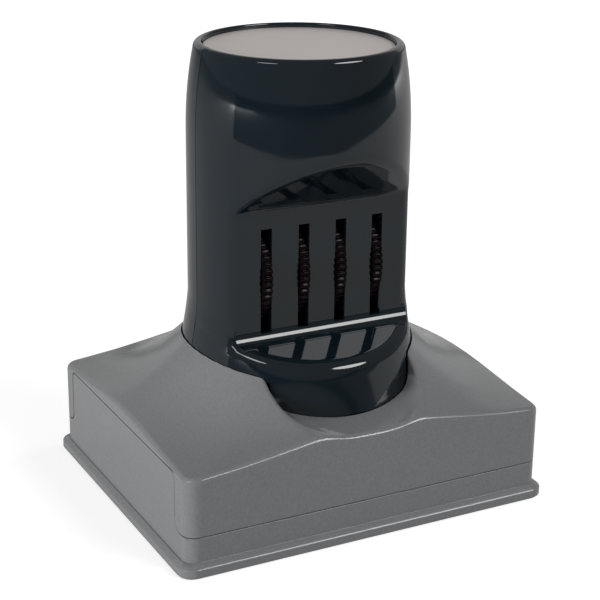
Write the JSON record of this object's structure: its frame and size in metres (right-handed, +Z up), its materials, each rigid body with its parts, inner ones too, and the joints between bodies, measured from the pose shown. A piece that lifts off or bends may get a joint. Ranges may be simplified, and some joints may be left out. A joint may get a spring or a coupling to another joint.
{
  "type": "pre-inked date stamp",
  "caption": "Hand stamp with a round palm handle, thumb wheels that set a date, a sprung printing unit in a flared housing and a lift-off dust cap.",
  "frame": {"origin": "centre of the dust cap's underside, the face that the stamp stands on", "axes": "+Z up along the handle, -Y towards the front with the thumb wheels, +X to the right seen from the front"},
  "size_m": [0.088, 0.074, 0.0996],
  "materials": {
    "grey_plastic": "semi-matt moulded, mid grey",
    "black_plastic": "polished, black",
    "inner_plastic": "plain moulded, dark grey",
    "wheel_plastic": "plain moulded, brown-black",
    "label": "silver paint on foil",
    "steel": "plain bright",
    "rubber": "matt, ink-stained",
    "felt": "soaked with ink"
  },
  "bodies": {
    "cap": {"dust_cap": "grey_plastic"},
    "housing": {"housing_cover": "grey_plastic", "base_frame": "inner_plastic", "frame_screws": "steel", "spring_left": "steel", "spring_right": "steel"},
    "plunger": {"handle_front_shell": "black_plastic", "handle_rear_shell": "black_plastic", "top_label": "label", "handle_screws": "steel", "carriage": "inner_plastic", "ink_pad": "felt", "printing_plate": "rubber", "date_window_sleeve": "inner_plastic", "band_frame_left": "steel", "band_frame_right": "steel", "band_frame_centre": "steel", "band_bridge": "inner_plastic", "bridge_pins": "steel", "band_unit_screws": "steel", "wheel_axle": "steel", "wheel_spacers": "steel", "date_band_1": "rubber", "date_band_2": "rubber", "date_band_3": "rubber", "date_band_4": "rubber"},
    "wheel_1": {"thumb_wheel_1": "wheel_plastic"},
    "wheel_2": {"thumb_wheel_2": "wheel_plastic"},
    "wheel_3": {"thumb_wheel_3": "wheel_plastic"},
    "wheel_4": {"thumb_wheel_4": "wheel_plastic"}
  },
  "joints": [
    {"name": "cap_lift", "type": "slide", "parent": "cap", "child": "housing", "axis": [0, 0, 1], "range_m": [0, 0.03]},
    {"name": "handle_press", "type": "slide", "parent": "housing", "child": "plunger", "axis": [0, 0, -1], "range_m": [0, 0.0045], "stiffness_N_per_m": 6500, "springref_m": -0.001, "deforming": ["spring_left", "spring_right"]},
    {"name": "wheel_1_turn", "type": "hinge", "parent": "plunger", "child": "wheel_1", "pos_m": [-0.0138, 0, 0.0516], "axis": [1, 0, 0], "continuous": true},
    {"name": "wheel_2_turn", "type": "hinge", "parent": "plunger", "child": "wheel_2", "pos_m": [-0.0046, 0, 0.0516], "axis": [1, 0, 0], "continuous": true},
    {"name": "wheel_3_turn", "type": "hinge", "parent": "plunger", "child": "wheel_3", "pos_m": [0.0046, 0, 0.0516], "axis": [1, 0, 0], "continuous": true},
    {"name": "wheel_4_turn", "type": "hinge", "parent": "plunger", "child": "wheel_4", "pos_m": [0.0138, 0, 0.0516], "axis": [1, 0, 0], "continuous": true}
  ]
}
